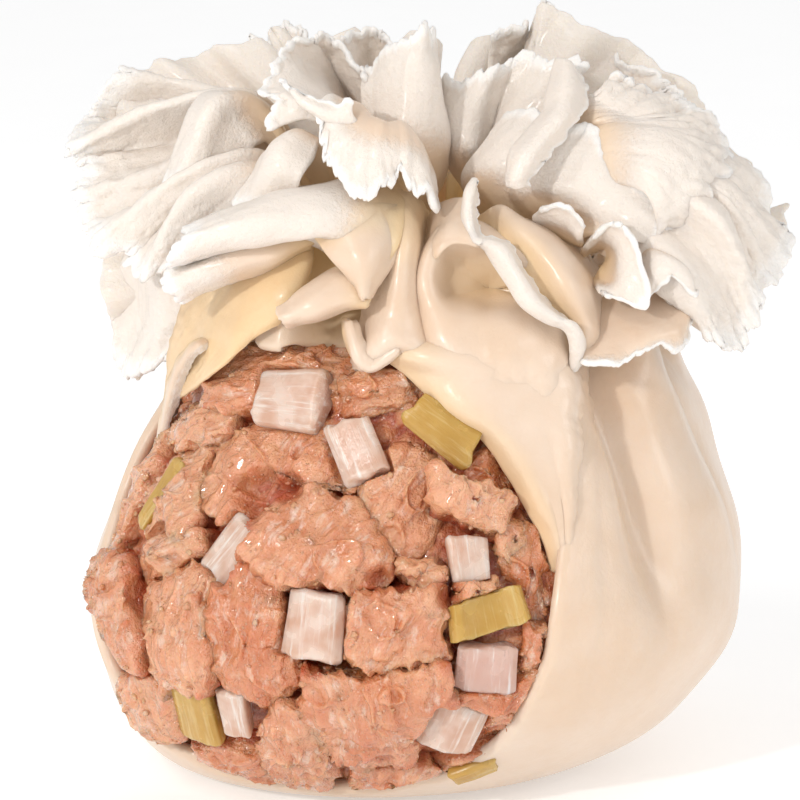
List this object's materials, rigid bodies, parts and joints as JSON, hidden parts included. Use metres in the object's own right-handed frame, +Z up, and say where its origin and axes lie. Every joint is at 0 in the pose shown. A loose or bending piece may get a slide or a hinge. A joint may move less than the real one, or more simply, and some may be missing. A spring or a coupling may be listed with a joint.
{
  "type": "shumai",
  "caption": "Bag-shaped steamed dumpling: thin dough gathered into a ruffled flower over a round belly, with a window cut in the front that shows a chopped meat and scallion filling.",
  "frame": {"origin": "on the floor under the belly's middle, a few millimetres beside the middle of the flat base because the bag slumps", "axes": "+Z up through the flower; -Y out of the front, where the window is; +X to the right as seen from the front"},
  "size_m": [0.0484, 0.0453, 0.051],
  "materials": {
    "dough": "soft and slightly translucent, floury at the free edge",
    "mutton": "moist",
    "white_scallion": "moist and translucent",
    "green_scallion": "moist and translucent",
    "fat": "moist and translucent"
  },
  "bodies": {
    "root": {"wrapper": "dough", "filling": "mutton", "white_scallion_1": "white_scallion", "white_scallion_2": "white_scallion", "white_scallion_3": "white_scallion", "white_scallion_4": "white_scallion", "white_scallion_5": "white_scallion", "white_scallion_6": "white_scallion", "white_scallion_7": "white_scallion", "green_scallion_1": "green_scallion", "green_scallion_2": "green_scallion", "green_scallion_3": "green_scallion", "green_scallion_4": "green_scallion", "green_scallion_5": "green_scallion", "fat_1": "fat"}
  },
  "joints": []
}
